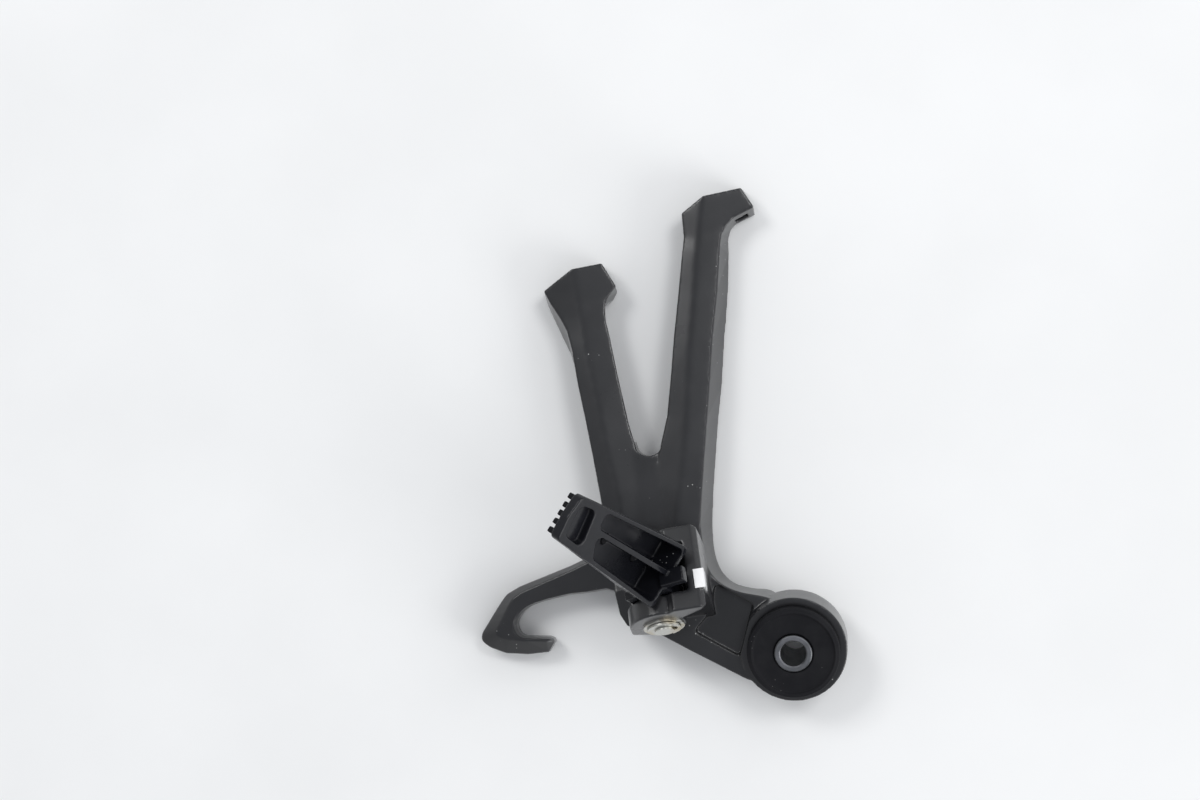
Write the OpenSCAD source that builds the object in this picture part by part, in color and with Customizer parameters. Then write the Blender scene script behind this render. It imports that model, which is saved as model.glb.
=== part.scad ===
// Right-hand rear passenger footrest hanger for a motorcycle.
// A cast aluminium bracket with two mounting arms, a clevis that carries a folding footrest,
// a rubber-damped eye for the exhaust and a strap hook. It lies on its back: z = 0 is the
// plane of the two frame mounting faces, +Z points away from the machine, +Y runs up the arms.
// The origin is the mouth of the front frame bolt hole.

/* [Frame mounts] */
// Tapping radius of the two M8 frame bolt holes
bolt_r = 3.4; // [3:0.1:4.5]
// Depth of the two blind frame bolt holes
bolt_depth = 10.5; // [8:0.5:11.5]
// Rear frame bolt hole, measured from the front one
rear_bolt = [-54.5, -32];

/* [Plate] */
// Height of the plate's front face above the mounting plane
plate_top = 19; // [17:0.5:21]
// Height of the plate's back above the mounting plane
plate_back = 2.5; // [1:0.5:5]

/* [Exhaust eye] */
// Lean of the eye's axis, front end downwards
eye_tilt = 12; // [0:1:20]
// Outer radius of the cast ring
eye_r = 21.8; // [20:0.1:24]
// Radius of the seat for the rubber damper
seat_r = 15.8; // [14:0.1:17]
// Radius of the rubber flanges
flange_r = 18.9; // [17:0.1:20]
// Outer radius of the steel collar
collar_r = 7.6; // [7:0.1:9]
// Inner radius of the steel collar, for an M10 bolt
collar_bore_r = 5.3; // [5.1:0.1:5.6]
// Length of the steel collar
collar_len = 26; // [22:0.5:30]

/* [Clevis] */
// Tilt of the pivot pin out of the plate, lower end outwards
pin_tilt = 22; // [0:1:30]
// Lean of the pivot pin in the plate, upper end to the left
pin_lean = 10; // [0:1:20]
// Radius of the pivot pin
pin_r = 4; // [3.5:0.1:5]
// Radius of the rounded ears around the pin
ear_r = 13.8; // [12:0.1:15]
// Distance from the pin to the front face of the clevis
clevis_front = 15; // [13:0.5:16]

/* [Footrest] */
// Fold of the footrest away from its deployed position, as drawn
fold_now = 17.5; // [0:0.5:85]
// Roll of the tread about the footrest's long axis
tread_roll = 47.5; // [0:0.5:60]
// Distance from the pin to the tip of the casting
peg_tip = 85.6; // [75:0.1:95]
// Half width of the casting at its base
peg_half_base = 14; // [12:0.1:16]
// Half width of the casting at its tip
peg_half_tip = 9.5; // [8:0.1:12]
// Depth of the casting, deck to rim
peg_depth = 14.3; // [12:0.1:16]
// Radius of the hub around the pin
hub_r = 9; // [8:0.1:9.5]

/* [Hidden] */
$fn = 96;

satin_black = [0.09, 0.09, 0.10];
rubber_black = [0.05, 0.05, 0.055];
zinc = [0.72, 0.72, 0.70];
steel = [0.55, 0.55, 0.56];

eye_base = [35, -174.1, 1.8];
ring_back = 6;
ring_front = 20;
pin_mid = [-19.7, -151, 29];
slot_low = -10.5;
slot_high = 10;
ear_low = -18.5;
ear_high = 17;
floor_r = 9.8;
peg_offset = 4;
peg_base = 15.8;
wall = 1.9;
deck_top = 1;
rim_level = deck_top - peg_depth;
taper = 8.8;
ball_r = 2.5;
detent_z = 11.2;

// ---------- helpers ----------

// Triangles between each ring of n points and the next.
function sleeve(m, n) = [
    for (i = [0:m - 2]) for (j = [0:n - 1]) let (k = (j + 1) % n)
        each [[i * n + j, i * n + k, (i + 1) * n + j], [i * n + k, (i + 1) * n + k, (i + 1) * n + j]]
];

// Closed skin over rings that run up one side and down the other; each end is closed rung by rung.
module skin(rings) {
    n = len(rings[0]);
    m = len(rings);
    h = n / 2;
    e = (m - 1) * n;
    ends = [
        for (k = [0:h - 2]) let (a = h - 1 - k, b = h + k)
            each [
                [b, a, a - 1],
                [b + 1, b, a - 1],
                [e + a - 1, e + a, e + b],
                [e + a - 1, e + b, e + b + 1]
            ]
    ];
    polyhedron([for (r = rings) each r], concat(sleeve(m, n), ends));
}

// Ring of an arm: left edge, crease and right edge on the front, then right and left on the back.
// The two front facets fall away from the crease, whose height is zc; zb is the height of the back.
function arm_ring(l, c, r, rb, lb, zc, zb) = [
    [lb[0], lb[1], zb], [l[0], l[1], zc - 0.2 * (c[0] - l[0])], [c[0], c[1], zc],
    [r[0], r[1], zc - 0.13 * (r[0] - c[0])], [rb[0], rb[1], zb], [c[0], c[1], zb]
];

// Skin of an arm: its ends are folded along the crease.
module arm(rings) {
    n = 6;
    m = len(rings);
    e = (m - 1) * n;
    top = [[2, 1, 0], [5, 2, 0], [3, 2, 5], [4, 3, 5]];
    end = [[e + 1, e + 2, e], [e + 2, e + 5, e], [e + 2, e + 3, e + 5], [e + 3, e + 4, e + 5]];
    polyhedron([for (r = rings) each r], concat(sleeve(m, n), top, end));
}

// Smooth curve through four or more points, k steps between neighbours.
function blend(p, k) = [
    for (i = [0:len(p) - 2])
        let (a = p[max(i - 1, 0)], b = p[i], c = p[i + 1], d = p[min(i + 2, len(p) - 1)])
        for (s = [0:k - 1]) let (t = s / k)
            b + 0.5 * t * ((c - a) + t * ((2 * a - 5 * b + 4 * c - d) + t * (3 * b - a - 3 * c + d))),
    p[len(p) - 1]
];

// Polygon with every corner rounded to radius r.
function unit(v) = v / norm(v);
function round_corner(a, b, c, r, k) =
    let (u = unit(a - b), v = unit(c - b), half = acos(u * v) / 2, d = r / tan(half))
    let (o = b + unit(u + v) * r / sin(half), s = b + u * d - o, e = b + v * d - o)
    [for (i = [0:k]) let (t = i / k, w = unit(s * (1 - t) + e * t)) o + w * r];
function rounded(p, r, k = 6) = [
    for (i = [0:len(p) - 1])
        each round_corner(p[(i + len(p) - 1) % len(p)], p[i], p[(i + 1) % len(p)], r, k)
];

// Frames: the exhaust eye, the clevis and the footrest.
module at_eye() {
    translate(eye_base) rotate([eye_tilt, 0, 0]) children();
}
module at_pin() {
    translate(pin_mid) rotate([-pin_tilt, 0, pin_lean]) children();
}
module at_fold() {
    at_pin() rotate([0, -fold_now, 0]) children();
}
module at_peg() {
    at_fold() rotate([0, 0, tread_roll]) children();
}
// Cylinder along the local Y axis from y0 to y1.
module y_cylinder(y0, y1, r) {
    translate([0, y1, 0]) rotate([90, 0, 0]) cylinder(h = y1 - y0, r = r);
}
// Plan outline in local X and Z, extruded along Y from y0 to y1.
module xz_plate(y0, y1) {
    translate([0, y1, 0]) rotate([90, 0, 0]) linear_extrude(y1 - y0) children();
}

// ---------- hanger casting ----------

front_arm = [
    arm_ring([-7.5, 5], [-3, 8.5], [12.5, 12], [13, 12.5], [-7.5, 5], 14.5, 0),
    arm_ring([-12, 1.5], [-4, 1.5], [18, 4], [18, 2], [-12, 1.5], 14.5, 0),
    arm_ring([-11.5, -4], [-4.5, -4.5], [9.5, -0.5], [9.7, -2.2], [-12, -4], 14.5, 0),
    arm_ring([-11, -8.5], [-5, -9], [6.5, -4], [7.8, -4.6], [-11.5, -8.5], 14.5, 0),
    arm_ring([-11.5, -13.5], [-5.5, -13.5], [4.5, -8], [6.8, -8.8], [-12, -13.5], 14.8, 0),
    arm_ring([-12, -18.5], [-6, -19], [4, -12.5], [7.2, -14.5], [-12.5, -18.5], 15, 1),
    arm_ring([-13, -30.5], [-6.5, -31], [3, -30.5], [7, -30], [-13.5, -30.5], 15.5, 2),
    arm_ring([-15, -51.5], [-8, -51.5], [1, -51.5], [5.5, -51], [-15.5, -51.5], 16.5, 2.5),
    arm_ring([-16, -66], [-9, -69.5], [0, -69.5], [4.5, -69.5], [-16.5, -66], 17.2, 2.5),
    arm_ring([-17.5, -83], [-9.5, -84.5], [-1, -84.5], [3, -84.5], [-18, -83], 17.8, 2.5),
    arm_ring([-20, -94.5], [-10.5, -98.5], [-2, -99.5], [2, -99.5], [-20.5, -94.5], 18.4, 2.5),
    arm_ring([-22.5, -112], [-12, -115], [-3, -115.5], [1, -115.5], [-23, -112], 19, 2.5),
    arm_ring([-24.5, -127], [-13, -127], [-3.6, -127.5], [0.7, -127.5], [-25, -127], 19.2, 2.7),
    arm_ring([-26.5, -147], [-16, -147], [-6, -147], [-2, -147], [-27, -147], 18.3, 3)
];

rear_arm = [
    arm_ring([-64, -26], [-58, -21.5], [-45.5, -19], [-46.5, -18.7], [-64, -26], 14, 0),
    arm_ring([-70, -30.5], [-56, -30.5], [-39.5, -28.5], [-40.1, -30.4], [-70.5, -30.5], 14, 0),
    arm_ring([-67.5, -35], [-55.5, -35.5], [-43, -33.5], [-41.7, -33.6], [-69.5, -36.5], 14, 0),
    arm_ring([-62.5, -42.5], [-54, -41.5], [-44, -36.5], [-45.8, -36.5], [-66, -44], 14.2, 0),
    arm_ring([-60, -47], [-53, -47.5], [-43.5, -43], [-45.3, -43], [-63.2, -50], 14.5, 0),
    arm_ring([-58, -54], [-52, -55], [-41.5, -51], [-43.3, -51], [-59.6, -57], 15, 1),
    arm_ring([-55, -70], [-48.5, -69.5], [-38, -67], [-39.8, -67], [-55.3, -70], 16, 2),
    arm_ring([-52, -83], [-45.5, -82.5], [-33.5, -86], [-35.3, -86], [-52.7, -83], 16.8, 2.5),
    arm_ring([-48.5, -99.5], [-42, -99.5], [-29.5, -99], [-31.3, -99], [-49, -99.5], 17.6, 2.5),
    arm_ring([-45, -117], [-38, -114.5], [-24.5, -114], [-26.3, -114], [-45.5, -117], 18.6, 2.5),
    arm_ring([-42.5, -129.5], [-35.5, -128], [-22.5, -128], [-23.5, -128], [-43, -129.5], 19.1, 2.7),
    arm_ring([-38.6, -145.5], [-32, -145.5], [-20, -145.5], [-20, -145.5], [-39, -145.5], 18.2, 3)
];

// Left and lower edge of the plate, from the arms to the exhaust eye.
plate_edge = [
    [-43, -130], [-42.2, -134], [-41.5, -138], [-40, -147], [-38.7, -156], [-36.5, -165], [-33.5, -169.5],
    [-26, -172], [-19.3, -173.2], [-7.6, -179.2], [4.8, -185.3], [16, -190.8], [24, -193]
];
// Right and upper edge of the plate, front and back, with the large fillet beside the clevis.
fillet_front = blend([
    [-3.6, -127], [-2.1, -139], [1, -147.6], [6, -152.2], [12.8, -155.1], [23, -157], [33, -160]
], 4);
fillet_back = blend([
    [0.7, -127], [1.4, -138], [4.2, -146.6], [9.5, -152], [17, -154.2], [25, -155], [33, -160]
], 4);

module plate() {
    skin([
        for (i = [0:24])
            let (a = plate_edge[floor(i / 2)], b = plate_edge[ceil(i / 2)], l = (a + b) / 2)
            let (r = fillet_front[i], rb = fillet_back[i], low = i > 12 ? -1.2 : 0)
            let (top = plate_top - 1.9 * max(0, 1 - i / 5))
            [
                [l[0] - 0.5, l[1] + low, plate_back], [l[0], l[1], top],
                [r[0], r[1], top], [rb[0], rb[1], plate_back]
            ]
    ]);
}

// Web that closes the bottom of the V between the arms and rises into the plate.
web_rows = [
    [-92, -32.5, -18, 15.6],
    [-112, -34, -14, 17.2],
    [-128, -36, -12, 18.4],
    [-143, -36, -12, 18.5]
];
module web() {
    difference() {
        skin([
            for (w = web_rows)
                [[w[1], w[0], 2.9], [w[1], w[0], w[3]], [w[2], w[0], w[3]], [w[2], w[0], 2.9]]
        ]);
        translate([-25.3, -93.5, -1]) cylinder(h = 30, r = 6);
        translate([-34, -93.5, -1]) cube([14.7, 10, 30]);
    }
}

// Edges of the hook from its root to its tip: outer and inner edge at its waist and on its narrower faces.
hook_outer = concat(
    [[-34, -136], [-41, -137], [-49.9, -141.3], [-58.8, -145.6], [-73.1, -151.5], [-80.1, -154.4]],
    blend([
        [-85.4, -157.6], [-87.8, -160.7], [-94.1, -170.9],
        [-96.2, -175], [-95.6, -177.8], [-92.3, -180.2]
    ], 3),
    [[-85.9, -182.4], [-76.5, -182.8], [-67.6, -181.7], [-65.1, -177.4]]
);
hook_inner = concat(
    [[-34, -158.2], [-38, -156.8], [-43, -155.3], [-47, -156]],
    [[-51, -156.8], [-55, -157.2], [-58.8, -157.7]],
    blend([[-68, -160], [-75.1, -162.5], [-79.3, -166], [-81.2, -170], [-80, -173.7], [-77.5, -175.2]], 3),
    [[-72, -175.2], [-67.3, -175.2], [-65.4, -176]]
);
face_outer = concat(
    [[-34, -138], [-41, -139], [-49.5, -143.3], [-58.3, -147.6], [-71.8, -153.6], [-78.5, -156.6]],
    blend([
        [-82.2, -159.2], [-83.8, -161.8], [-88.2, -170.8],
        [-89, -173.2], [-88.6, -174.6], [-87, -175.6]
    ], 3),
    [[-83.5, -176.3], [-76.5, -176.8], [-68.2, -176.8], [-66.4, -176.6]]
);
face_inner = concat(
    [[-34, -157.4], [-38, -156], [-43, -154.6], [-47, -155.3], [-51, -156.1], [-55, -156.5], [-58.8, -157]],
    blend([
        [-68.2, -159.3], [-75.5, -161.8], [-80, -165.5],
        [-82, -170], [-80.7, -174.1], [-77.9, -175.8]
    ], 3),
    [[-72, -175.9], [-67.5, -175.9], [-66.3, -176.2]]
);

module hook() {
    skin([
        for (i = [0:len(hook_outer) - 1])
            let (a = face_outer[i], b = hook_outer[i], c = hook_inner[i], d = face_inner[i])
            [
                [a[0], a[1], 0], [b[0], b[1], 1.5], [b[0], b[1], 8], [a[0], a[1], 12.4],
                [d[0], d[1], 12.4], [c[0], c[1], 8], [c[0], c[1], 1.5], [d[0], d[1], 0]
            ]
    ]);
}

// Clevis seen along the pin: a round end in front of a block.
module clevis_outline() {
    circle(r = ear_r);
    polygon([
        [0, 0], [-ear_r, 0], [-ear_r, -34], [19.4, -34], [20, 4],
        [19.4, 13.2], [17.6, clevis_front], [6, clevis_front], [4, ear_r - 0.6]
    ]);
}

// The lower ear is cut back on its right, behind the pin boss.
module lower_ear_outline() {
    circle(r = 9.4);
    intersection() {
        clevis_outline();
        polygon([[-30, -40], [-4, -40], [0, -8], [7.6, 4.3], [22, 15.1], [22, 30], [-30, 30]]);
    }
}

module clevis_blank() {
    intersection() {
        at_pin() union() {
            xz_plate(slot_low - 1, ear_high) clevis_outline();
            xz_plate(ear_low, slot_low - 0.5) lower_ear_outline();
        }
        at_pin() translate([0, 0, -40]) linear_extrude(70)
            polygon(rounded([[-30, ear_high], [-30, ear_low], [20.4, ear_low], [20.4, ear_high]], 3.5));
        translate([-60, -172.5, plate_back + 1]) cube([80, 52.5, 60]);
    }
}

module clevis_slot() {
    at_pin() {
        y_cylinder(slot_low, slot_high, floor_r);
        translate([-60, slot_low, 0]) cube([73, slot_high - slot_low, 40]);
        translate([-60, slot_low, -floor_r]) cube([60, slot_high - slot_low, 40]);
        y_cylinder(ear_low - 1, ear_high + 1, pin_r + 0.05);
        y_cylinder(ear_high, ear_high + 4.5, 7.6);
        y_cylinder(ear_low - 6, ear_low, 9);
    }
}

module stop_shape() {
    at_pin() translate([16, slot_low, 9]) cube([4.2, 8, 6.4]);
}

module eye_ring() {
    at_eye() {
        translate([0, 0, ring_back]) cylinder(h = ring_front - ring_back, r = eye_r);
    }
}

// Weight-saving pockets in the back of the casting.
module back_pockets() {
    translate([0, 0, -1]) {
        linear_extrude(10) polygon(rounded([[-9, -17], [2.5, -17], [1, -44], [-10.5, -44]], 2));
        linear_extrude(11) polygon(rounded([[-11, -48], [0.8, -48], [-1.5, -88], [-14, -80]], 2));
        linear_extrude(12) polygon(rounded([[-17, -98], [-3, -94], [-4.5, -122], [-20, -122]], 2));
        linear_extrude(9) polygon(rounded([[-57.5, -47.5], [-46, -45.5], [-41.5, -66], [-53, -68]], 2));
        linear_extrude(11) polygon(rounded([[-52, -72], [-41, -70], [-34, -92], [-47, -96]], 2));
        linear_extrude(12) polygon(rounded([[-45.5, -101], [-32, -104], [-26, -122], [-40.5, -122]], 2));
        linear_extrude(10) polygon(rounded([[7, 5.5], [12, 7], [14.8, 3.3], [9, 0.2]], 1));
    }
}

// Relief through the outer wall of the front head.
module head_relief() {
    translate([9.6, -0.2, 2.2]) rotate([0, 0, 33]) translate([0, -6, 0]) cube([5.6, 8, 5]);
}

module link_pocket() {
    translate([0, 0, plate_top - 3]) linear_extrude(20)
        polygon(rounded([[2.5, -151.5], [18.5, -160], [13, -181.5], [-6, -171.5], [1, -163]], 1.6));
}

module hanger() {
    color(satin_black)
    difference() {
        union() {
            difference() {
                union() {
                    arm(front_arm);
                    arm(rear_arm);
                    web();
                    plate();
                    hook();
                    eye_ring();
                }
                link_pocket();
            }
            clevis_blank();
        }
        clevis_slot();
        stop_shape();
        at_eye() translate([0, 0, -10]) cylinder(h = 60, r = seat_r);
        at_eye() translate([0, 0, ring_front]) cylinder(h = 20, r = eye_r + 4);
        at_eye() translate([0, 0, ring_back - 20]) cylinder(h = 20, r = flange_r + 0.5);
        translate([0, 0, -1]) cylinder(h = bolt_depth + 1, r = bolt_r);
        translate([rear_bolt[0], rear_bolt[1], -1]) cylinder(h = bolt_depth + 1, r = bolt_r);
        back_pockets();
        head_relief();
    }
}

// ---------- exhaust damper ----------

module exhaust_damper() {
    color(rubber_black)
    at_eye() rotate_extrude() polygon([
        [collar_r, 1], [flange_r - 1.2, 1], [flange_r - 0.2, 1.6], [flange_r - 0.2, ring_back],
        [seat_r, ring_back], [seat_r, ring_front], [flange_r, ring_front], [flange_r, 24.2],
        [flange_r - 1.3, 25.4], [flange_r - 2.6, 25.4], [flange_r - 3.2, 25], [collar_r, 25]
    ]);
}

module damper_collar() {
    color(steel)
    at_eye() rotate_extrude() polygon([
        [collar_bore_r + 0.5, 0], [collar_r - 0.4, 0], [collar_r, 0.4], [collar_r, collar_len - 0.4],
        [collar_r - 0.4, collar_len], [collar_bore_r + 0.5, collar_len],
        [collar_bore_r, collar_len - 0.5], [collar_bore_r, 0.5]
    ]);
}

// ---------- pivot ----------

module stop_plate() {
    color(zinc)
    stop_shape();
}

module pivot_pin() {
    color(zinc)
    at_pin() difference() {
        union() {
            y_cylinder(ear_low - 2.8, ear_high, pin_r);
            y_cylinder(ear_high, ear_high + 2.4, 6.8);
        }
        difference() {
            y_cylinder(ear_low - 2, ear_low - 1, pin_r + 1);
            y_cylinder(ear_low - 3, ear_low, pin_r - 0.7);
        }
    }
}

module pin_washer() {
    color(zinc)
    at_pin() difference() {
        y_cylinder(ear_low - 0.9, ear_low, 8.4);
        y_cylinder(ear_low - 2, ear_low + 1, pin_r + 0.15);
    }
}

// Spring clip in the pin's groove: two round openings at its ears and a gap at its mouth.
module pin_clip() {
    color(zinc)
    at_pin() difference() {
        y_cylinder(ear_low - 1.9, ear_low - 1.1, 6.9);
        y_cylinder(ear_low - 3, ear_low, pin_r - 0.65);
        for (a = [40, 140]) rotate([0, a, 0])
            translate([2.2, 0, 2.2]) y_cylinder(ear_low - 3, ear_low, 2.3);
        translate([-2.6, ear_low - 3, -10]) cube([5.2, 3, 10]);
    }
}

// ---------- footrest ----------

peg_l = peg_offset - peg_half_base;
peg_r = peg_offset + peg_half_base;
tip_l = peg_offset - peg_half_tip;
tip_r = peg_offset + peg_half_tip;
peg_plan = [
    [peg_l, peg_base], [peg_r, peg_base], [tip_r, peg_tip - 0.8], [peg_offset, peg_tip + 0.4],
    [tip_l, peg_tip - 0.8]
];

// Hollow underside: two long cavities beside a rib, and a shallow pocket at the tip.
module peg_cavities() {
    base = peg_base + wall;
    xz_plate(rim_level - 1, deck_top - 3) {
        polygon(rounded([[peg_l + wall, base], [3.9, base], [3.9, 66.9], [-5.1, 61.5]], 2.4));
        polygon(rounded([[6.1, base], [peg_r - wall, base], [13, 68.4], [6.1, 67.4]], 2.4));
    }
    xz_plate(rim_level - 1, deck_top - 2.6)
        polygon(rounded([[-3.6, 71], [11.4, 74.4], [10.3, 82.9], [-2.6, 81.9]], 2.6));
}

module peg_body() {
    color(satin_black)
    difference() {
        union() {
            at_peg() difference() {
                xz_plate(rim_level, deck_top) polygon(rounded(peg_plan, 2.2));
                peg_cavities();
                // the casting gets shallower towards the tip
                translate([-20, rim_level, 18]) rotate([-taper, 0, 0])
                    translate([0, -20, 0]) cube([60, 20, 80]);
            }
            at_fold() {
                y_cylinder(slot_low + 0.3, slot_high - 0.3, hub_r);
                translate([-8, slot_low + 0.3, 0]) cube([18.5, slot_high - slot_low - 0.6, 17]);
                translate([9, -9.6, 15.7]) cube([10.5, 6.4, 4]);
            }
        }
        at_fold() y_cylinder(-30, 30, pin_r + 0.06);
        at_fold() translate([0, 0, detent_z]) y_cylinder(0.5, slot_high, ball_r + 0.1);
        at_peg() for (z = [30, 55])
            translate([peg_offset, 0, z]) y_cylinder(-2.5, deck_top + 1, 2.2);
    }
}

rib_x = [-7.4, -3.6, 0, 3.6, 7.4];

module peg_rubber() {
    color(rubber_black)
    at_peg() {
        xz_plate(deck_top, deck_top + 2.6) polygon(rounded([
            [peg_l + 1, 19], [peg_r - 1, 19], [tip_r - 0.8, peg_tip - 4], [tip_l + 0.8, peg_tip - 4]
        ], 2.5));
        for (x = rib_x) for (z = [22:10:72])
            translate([peg_offset + x - 1.2, deck_top + 2, z]) cube([2.4, 3.4, 8.4]);
        for (z = [30, 55])
            translate([peg_offset, 0, z]) y_cylinder(-2.4, deck_top + 1, 2.2);
    }
}

// Ball and spring of the detent: they press on the inner face of the upper ear.
module detent_ball() {
    color(steel)
    at_fold() translate([0, slot_high - 0.3 - ball_r, detent_z]) sphere(r = ball_r, $fn = 32);
}

module detent_spring() {
    color(steel)
    at_fold() translate([0, 0, detent_z]) difference() {
        y_cylinder(0.5, slot_high - 0.3 - 2 * ball_r, ball_r - 0.1);
        y_cylinder(-1, slot_high, ball_r - 0.9);
    }
}

hanger();
exhaust_damper();
damper_collar();
stop_plate();
pivot_pin();
pin_washer();
pin_clip();
peg_body();
peg_rubber();
detent_ball();
detent_spring();
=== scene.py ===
"""Looks of the right-hand passenger footrest hanger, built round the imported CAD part."""

import math

import bmesh
import bpy
from mathutils import Matrix, Vector


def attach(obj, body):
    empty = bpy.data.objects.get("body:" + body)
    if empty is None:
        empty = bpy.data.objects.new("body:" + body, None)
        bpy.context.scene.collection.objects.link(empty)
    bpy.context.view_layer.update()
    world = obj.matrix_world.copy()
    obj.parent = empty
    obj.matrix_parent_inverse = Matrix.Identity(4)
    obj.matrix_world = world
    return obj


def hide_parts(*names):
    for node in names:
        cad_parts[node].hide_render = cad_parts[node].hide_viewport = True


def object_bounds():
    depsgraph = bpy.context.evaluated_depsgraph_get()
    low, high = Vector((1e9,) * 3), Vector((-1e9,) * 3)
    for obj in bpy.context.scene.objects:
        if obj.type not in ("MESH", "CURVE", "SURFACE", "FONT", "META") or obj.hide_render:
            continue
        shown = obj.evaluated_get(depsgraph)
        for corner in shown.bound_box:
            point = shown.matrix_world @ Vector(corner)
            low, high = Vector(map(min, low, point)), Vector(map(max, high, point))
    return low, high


MM = 0.001

# The camera, at the photograph's viewing angle, in the row frame
CAMERA_PLACE = Vector((0.0645, -0.1036, 0.9228))
CAMERA_RIGHT = Vector((0.99273, 0.00362, -0.12028))
CAMERA_BACK = Vector((0.12033, -0.02985, 0.99228))
CAMERA_LENS = 66
CAMERA_SENSOR = 36

# The exhaust eye
EYE_TILT = math.radians(12)
EYE_BASE = Vector((35, -174.1, 1.8)) * MM

# The floor: half its side, and how far it lies below the part's lowest point
FLOOR_HALF = 6.0
FLOOR_GAP = 0.0002

# The sky: colour and height at the horizon and overhead, strength on the left and right.
# Heights and the edge, where the strength stops changing, are the Z and X of a direction.
HORIZON_COLOUR, HORIZON_HEIGHT = (1.20, 1.21, 1.23, 1), 0.30
CEILING_COLOUR, CEILING_HEIGHT = (0.70, 0.72, 0.77, 1), 0.85
SKY_LEFT, SKY_RIGHT, SKY_EDGE = 0.50, 0.80, 0.6

# Square lights: name, place from the middle of the part, side, watts
LIGHTS = (
    ("key", (-0.94, 0.88, 1.53), 0.6, 10),
    ("right", (1.55, -0.75, 0.55), 0.9, 12),
    ("fill", (0.85, 0.72, 1.65), 0.6, 9),
)

# Colours of wear, dust and dull spots
SCUFF = (0.16, 0.16, 0.165)
COAT_DUST = (0.55, 0.55, 0.54)
RUBBER_DUST = (0.35, 0.35, 0.34)
DULL_SPOT = (0.25, 0.24, 0.22)


def make_camera():
    data = bpy.data.cameras.new("camera")
    data.lens = CAMERA_LENS
    data.sensor_width = CAMERA_SENSOR
    data.clip_start = 0.01
    data.clip_end = 20
    camera = bpy.data.objects.new("camera", data)
    bpy.context.scene.collection.objects.link(camera)
    back = CAMERA_BACK.normalized()
    right = (CAMERA_RIGHT - back * CAMERA_RIGHT.dot(back)).normalized()
    up = back.cross(right)
    turn = Matrix((right, up, back)).transposed().to_4x4()
    camera.matrix_world = Matrix.Translation(CAMERA_PLACE) @ turn
    bpy.context.scene.camera = camera


# ---------- materials ----------


class Nodes:
    """A material's node tree with short calls for the nodes used here."""

    def __init__(self, name):
        self.material = bpy.data.materials.new(name)
        self.material.use_nodes = True
        self.tree = self.material.node_tree
        self.shader = self.tree.nodes["Principled BSDF"]
        self.coordinates = self.tree.nodes.new("ShaderNodeTexCoord").outputs["Object"]

    def set(self, **values):
        for name, value in values.items():
            self.shader.inputs[name.replace("_", " ")].default_value = value

    def link(self, output, name):
        self.tree.links.new(output, self.shader.inputs[name])

    def stretched(self, scale):
        node = self.tree.nodes.new("ShaderNodeMapping")
        node.inputs["Scale"].default_value = scale
        self.tree.links.new(self.coordinates, node.inputs["Vector"])
        return node.outputs["Vector"]

    def noise(self, scale, detail=4, roughness=0.5, vector=None):
        node = self.tree.nodes.new("ShaderNodeTexNoise")
        node.inputs["Scale"].default_value = scale
        node.inputs["Detail"].default_value = detail
        node.inputs["Roughness"].default_value = roughness
        self.tree.links.new(vector or self.coordinates, node.inputs["Vector"])
        return node.outputs["Fac"]

    def cells(self, scale):
        node = self.tree.nodes.new("ShaderNodeTexVoronoi")
        node.inputs["Scale"].default_value = scale
        self.tree.links.new(self.coordinates, node.inputs["Vector"])
        return node.outputs["Distance"]

    def remap(self, value, low, high, to_low=0.0, to_high=1.0):
        node = self.tree.nodes.new("ShaderNodeMapRange")
        node.interpolation_type = "SMOOTHSTEP"
        names = ("From Min", "From Max", "To Min", "To Max")
        for name, number in zip(names, (low, high, to_low, to_high)):
            node.inputs[name].default_value = number
        self.tree.links.new(value, node.inputs["Value"])
        return node.outputs["Result"]

    def multiply(self, a, b):
        node = self.tree.nodes.new("ShaderNodeMath")
        node.operation = "MULTIPLY"
        for socket, value in zip(node.inputs, (a, b)):
            if isinstance(value, (int, float)):
                socket.default_value = value
            else:
                self.tree.links.new(value, socket)
        return node.outputs["Value"]

    def mix(self, factor, a, b):
        node = self.tree.nodes.new("ShaderNodeMix")
        node.data_type = "RGBA"
        self.tree.links.new(factor, node.inputs["Factor"])
        for name, value in (("A", a), ("B", b)):
            socket = [s for s in node.inputs if s.name == name and s.type == "RGBA"][0]
            if isinstance(value, tuple):
                socket.default_value = (*value, 1)
            else:
                self.tree.links.new(value, socket)
        return [s for s in node.outputs if s.type == "RGBA"][0]

    def bump(self, height, strength, distance, under=None):
        node = self.tree.nodes.new("ShaderNodeBump")
        node.inputs["Strength"].default_value = strength
        node.inputs["Distance"].default_value = distance
        self.tree.links.new(height, node.inputs["Height"])
        if under is not None:
            self.tree.links.new(under, node.inputs["Normal"])
        return node.outputs["Normal"]


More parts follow.
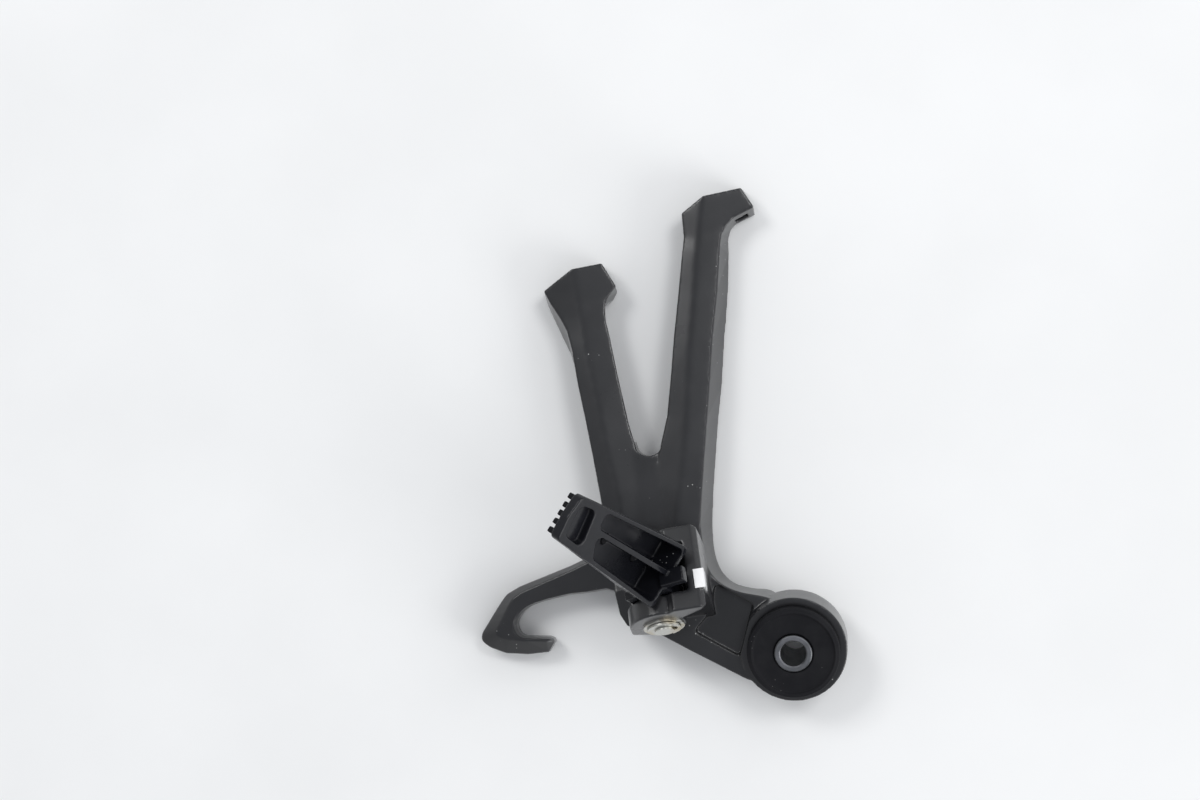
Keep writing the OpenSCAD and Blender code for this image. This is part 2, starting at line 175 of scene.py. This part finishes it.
def coated_casting(name, base, dusty, roughness, coat, specular):
    """Black coat on a casting: fine orange peel, soft clouds of wear, a few pale specks of dust."""
    n = Nodes(name)
    clouds = n.noise(38, 5, 0.6)
    fine = n.noise(900, 3, 0.6)
    specks = n.multiply(
        n.remap(n.cells(420), 0.13, 0.05), n.remap(n.noise(60, 2), 0.58, 0.64)
    )
    scuffs = n.multiply(
        n.remap(n.noise(160, 8, 0.75, n.stretched((1, 0.22, 1))), 0.62, 0.70),
        n.remap(n.noise(22, 2), 0.5, 0.62),
    )
    colour = n.mix(n.remap(clouds, 0.35, 0.7), base, dusty)
    colour = n.mix(n.multiply(scuffs, 0.12), colour, SCUFF)
    colour = n.mix(n.multiply(specks, 0.8), colour, COAT_DUST)
    n.link(colour, "Base Color")
    n.link(n.remap(clouds, 0.3, 0.75, roughness - 0.03, roughness + 0.06), "Roughness")
    n.set(IOR=1.5, Coat_Weight=coat, Coat_Roughness=0.28, Specular_IOR_Level=specular)
    n.link(n.bump(fine, 0.15, 0.00006, n.bump(n.noise(240, 3), 0.08, 0.00010)), "Normal")
    return n.material


def moulded_rubber(name):
    """Matt black rubber with a fine grain and a grey bloom of dust."""
    n = Nodes(name)
    bloom = n.noise(70, 6, 0.65)
    grain = n.noise(1500, 2, 0.6)
    specks = n.multiply(n.remap(n.cells(650), 0.12, 0.05), n.remap(n.noise(80, 2), 0.6, 0.66))
    colour = n.mix(n.remap(bloom, 0.35, 0.72), (0.011, 0.0112, 0.013), (0.016, 0.0162, 0.018))
    n.link(n.mix(n.multiply(specks, 0.5), colour, RUBBER_DUST), "Base Color")
    n.link(n.remap(bloom, 0.3, 0.7, 0.52, 0.66), "Roughness")
    n.set(Specular_IOR_Level=0.07)
    n.link(n.bump(grain, 0.35, 0.00008, n.bump(bloom, 0.2, 0.0003)), "Normal")
    return n.material


def plated_metal(name, base, tint, roughness):
    """Plating or bare steel: a slow drift of tint, a fine grain, and small dull spots."""
    n = Nodes(name)
    drift = n.noise(120, 3)
    grain = n.noise(700, 4, 0.6)
    spots = n.remap(n.noise(500, 4, 0.7), 0.62, 0.7)
    colour = n.mix(n.remap(drift, 0.4, 0.65), base, tint)
    n.link(n.mix(n.multiply(spots, 0.12), colour, DULL_SPOT), "Base Color")
    n.link(n.remap(grain, 0.3, 0.7, roughness - 0.06, roughness + 0.1), "Roughness")
    n.set(Metallic=1.0)
    n.link(n.bump(grain, 0.06, 0.00002), "Normal")
    return n.material


def floor_material():
    """Plain pale table top with barely visible mottling."""
    n = Nodes("floor_surface")
    mottling = n.remap(n.noise(7, 4), 0.3, 0.7)
    n.link(n.mix(mottling, (0.89, 0.895, 0.89), (0.85, 0.855, 0.85)), "Base Color")
    n.set(Roughness=0.8, Specular_IOR_Level=0.1)
    return n.material


# ---------- meshes ----------


def new_object(name, mesh):
    o = bpy.data.objects.new(name, mesh)
    bpy.context.scene.collection.objects.link(o)
    return o


def finish_piece(o, material, body, slot, *nodes):
    """Gives a piece its material and body, and hides the CAD nodes it stands for; the slot is not
    used.
    """
    o.data.materials.clear()
    o.data.materials.append(material)
    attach(o, body)
    if nodes:
        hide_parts(*nodes)
    return o


def apply_modifiers(o):
    graph = bpy.context.evaluated_depsgraph_get()
    mesh = bpy.data.meshes.new_from_object(o.evaluated_get(graph))
    o.modifiers.clear()
    o.data = mesh


def smooth_shading(mesh):
    mesh.polygons.foreach_set("use_smooth", [True] * len(mesh.polygons))


def soften_creases(o, rounds):
    """Blends the shallow creases of the front faces without touching the outer edges."""
    front = o.vertex_groups.new(name="front")
    front.add([v.index for v in o.data.vertices if v.normal.z > 0.965], 1.0, "REPLACE")
    blur = o.modifiers.new("creases", "SMOOTH")
    blur.factor = 0.5
    blur.iterations = rounds
    blur.vertex_group = "front"
    apply_modifiers(o)


def cast_copy(node, name, cell, rounds, keep, crease_rounds=0):
    """The CAD node's shape with the soft edges and inner fillets of a casting.

    It is rebuilt in cubes of the given cell, smoothed so many rounds, and thinned to the kept
    share of its faces.
    """
    o = new_object(name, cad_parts[node].data.copy())
    remesh = o.modifiers.new("cells", "REMESH")
    remesh.mode = "VOXEL"
    remesh.voxel_size = cell
    remesh.adaptivity = 0
    soften = o.modifiers.new("soften", "SMOOTH")
    soften.factor = 0.5
    soften.iterations = rounds
    apply_modifiers(o)
    if crease_rounds:
        soften_creases(o, crease_rounds)
    thin = o.modifiers.new("thin", "DECIMATE")
    thin.ratio = keep
    apply_modifiers(o)
    smooth_shading(o.data)
    return o


def lathe(name, profile, place, steps=128):
    """Closed profile of (radius, height) points in millimetres, turned about the local Z axis."""
    mesh = bpy.data.meshes.new(name)
    points = [
        Vector((r * math.cos(a), r * math.sin(a), h)) * MM
        for a in (2 * math.pi * k / steps for k in range(steps))
        for r, h in profile
    ]
    count = len(profile)
    faces = [
        (k * count + j, ((k + 1) % steps) * count + j,
         ((k + 1) % steps) * count + (j + 1) % count, k * count + (j + 1) % count)
        for k in range(steps)
        for j in range(count)
    ]
    mesh.from_pydata(points, [], faces)
    mesh.transform(place)
    b = bmesh.new()
    b.from_mesh(mesh)
    bmesh.ops.recalc_face_normals(b, faces=b.faces)
    b.to_mesh(mesh)
    b.free()
    smooth_shading(mesh)
    return new_object(name, mesh)


def arc(centre, radius, start, end, steps=6):
    """Points (radius, height) on an arc, angles in degrees."""
    return [
        (
            centre[0] + radius * math.cos(math.radians(start + (end - start) * k / steps)),
            centre[1] + radius * math.sin(math.radians(start + (end - start) * k / steps)),
        )
        for k in range(steps + 1)
    ]


def rounded_edges(node, width):
    """Small rounded edges on a CAD node that stays in view."""
    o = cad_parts[node]
    bevel = o.modifiers.new("edges", "BEVEL")
    bevel.width = width
    bevel.segments = 2
    bevel.limit_method = "ANGLE"
    bevel.angle_limit = math.radians(35)
    bevel.harden_normals = True
    smooth_shading(o.data)
    return o


def dress(node, material):
    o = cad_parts[node]
    o.data.materials.clear()
    o.data.materials.append(material)


# ---------- pieces ----------


def make_hanger(material):
    o = cast_copy("hanger", "hanger_casting", cell=0.4 * MM, rounds=8, keep=0.3, crease_rounds=90)
    finish_piece(o, material, "hanger", "casting", "hanger")


def make_damper(material):
    """Rubber damper: a flange on each side of the seat, with a thin raised lip near the rim."""
    eye = Matrix.Translation(EYE_BASE) @ Matrix.Rotation(EYE_TILT, 4, "X")
    rear_flange = [(7.6, 1.0), *arc((17.6, 2.1), 1.1, -90, 0), (18.7, 6.0)]
    waist = [(15.8, 6.0), (15.8, 20.0)]
    front_flange = [(18.9, 20.0), (18.9, 24.2), *arc((17.9, 24.4), 1.0, 0, 90)]
    lip = arc((17.1, 25.4), 0.45, 60, 180, 4)
    face = [(16.0, 25.15), (12.5, 25.05), (9.0, 25.0)]
    bore_edge = [*arc((8.6, 24.6), 0.4, 90, 180, 3), (7.6, 24.2)]
    profile = rear_flange + waist + front_flange + lip + face + bore_edge
    o = lathe("damper_rubber", profile, eye, 160)
    finish_piece(o, material, "hanger", "rubber", "exhaust_damper")


def make_peg(casting, rubber):
    o = cast_copy("peg_body", "footrest_casting", cell=0.3 * MM, rounds=10, keep=0.3)
    finish_piece(o, casting, "footrest", "peg_casting", "peg_body")
    o = cast_copy("peg_rubber", "footrest_tread", cell=0.3 * MM, rounds=16, keep=0.35)
    finish_piece(o, rubber, "footrest", "rubber", "peg_rubber")


def make_stage():
    mesh = bpy.data.meshes.new("floor")
    low = cad_box[0].z - FLOOR_GAP
    corners = [
        (x * FLOOR_HALF, y * FLOOR_HALF, low) for x, y in ((-1, -1), (1, -1), (1, 1), (-1, 1))
    ]
    mesh.from_pydata(corners, [], [(0, 1, 2, 3)])
    floor = new_object("floor", mesh)
    mesh.materials.append(floor_material())


def area_light(name, place, target, size, power):
    data = bpy.data.lights.new(name, "AREA")
    data.shape = "SQUARE"
    data.size = size
    data.energy = power
    o = bpy.data.objects.new(name, data)
    bpy.context.scene.collection.objects.link(o)
    o.location = place
    o.rotation_mode = "QUATERNION"
    o.rotation_quaternion = (Vector(target) - Vector(place)).to_track_quat("-Z", "Y")


def make_world():
    """An even pale sky, a little brighter towards the horizon and on the right."""
    world = bpy.data.worlds.new("studio")
    world.use_nodes = True
    tree = world.node_tree
    background = tree.nodes["Background"]
    coordinates = tree.nodes.new("ShaderNodeTexCoord")
    split = tree.nodes.new("ShaderNodeSeparateXYZ")
    tree.links.new(coordinates.outputs["Generated"], split.inputs["Vector"])
    ramp = tree.nodes.new("ShaderNodeValToRGB")
    horizon, ceiling = ramp.color_ramp.elements
    horizon.position, horizon.color = HORIZON_HEIGHT, HORIZON_COLOUR
    ceiling.position, ceiling.color = CEILING_HEIGHT, CEILING_COLOUR
    tree.links.new(split.outputs["Z"], ramp.inputs["Fac"])
    tree.links.new(ramp.outputs["Color"], background.inputs["Color"])
    side = tree.nodes.new("ShaderNodeMapRange")
    side.inputs["From Min"].default_value = -SKY_EDGE
    side.inputs["From Max"].default_value = SKY_EDGE
    side.inputs["To Min"].default_value = SKY_LEFT
    side.inputs["To Max"].default_value = SKY_RIGHT
    tree.links.new(split.outputs["X"], side.inputs["Value"])
    tree.links.new(side.outputs["Result"], background.inputs["Strength"])
    bpy.context.scene.world = world


def make_lights():
    centre = (cad_box[0] + cad_box[1]) / 2
    for name, offset, size, power in LIGHTS:
        area_light(name, centre + Vector(offset), centre, size, power)


make_camera()
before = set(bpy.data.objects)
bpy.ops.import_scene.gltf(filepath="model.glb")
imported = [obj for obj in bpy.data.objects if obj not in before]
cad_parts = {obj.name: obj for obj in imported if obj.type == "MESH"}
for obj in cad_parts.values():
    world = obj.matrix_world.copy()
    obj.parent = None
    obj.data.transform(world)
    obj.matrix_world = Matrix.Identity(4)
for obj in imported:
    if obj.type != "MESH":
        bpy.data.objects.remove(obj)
cad_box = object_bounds()

black_coat = coated_casting(
    "black_coat",
    base=(0.013, 0.0134, 0.0150),
    dusty=(0.018, 0.0184, 0.0203),
    roughness=0.30,
    coat=0.85,
    specular=0.14,
)
peg_paint = coated_casting(
    "peg_paint",
    base=(0.007, 0.0075, 0.010),
    dusty=(0.011, 0.0115, 0.0145),
    roughness=0.20,
    coat=0.1,
    specular=0.22,
)
rubber = moulded_rubber("black_rubber")
steel = plated_metal("grey_steel", (0.22, 0.225, 0.24), (0.16, 0.165, 0.175), 0.40)
zinc = plated_metal("dull_zinc", (0.52, 0.52, 0.49), (0.45, 0.40, 0.30), 0.34)
pad_zinc = plated_metal("pad_zinc", (0.88, 0.88, 0.88), (0.80, 0.80, 0.80), 0.42)

make_hanger(black_coat)
make_damper(rubber)
make_peg(peg_paint, rubber)
for node, material, slot, width in (
    ("damper_collar", steel, "collar_steel", 0.25 * MM),
    ("stop_plate", pad_zinc, "zinc_plate", 0.5 * MM),
    ("pivot_pin", zinc, "zinc_plate", 0.3 * MM),
    ("pin_washer", zinc, "zinc_plate", 0.2 * MM),
    ("pin_clip", zinc, "zinc_plate", 0.15 * MM),
    ("detent_ball", steel, "collar_steel", 0),
    ("detent_spring", steel, "collar_steel", 0),
):
    dress(node, material)
    if width:
        rounded_edges(node, width)

# Plain camera tones: black coat and pale floor without a film curve
bpy.context.scene.view_settings.view_transform = "Standard"
make_stage()
make_world()
make_lights()
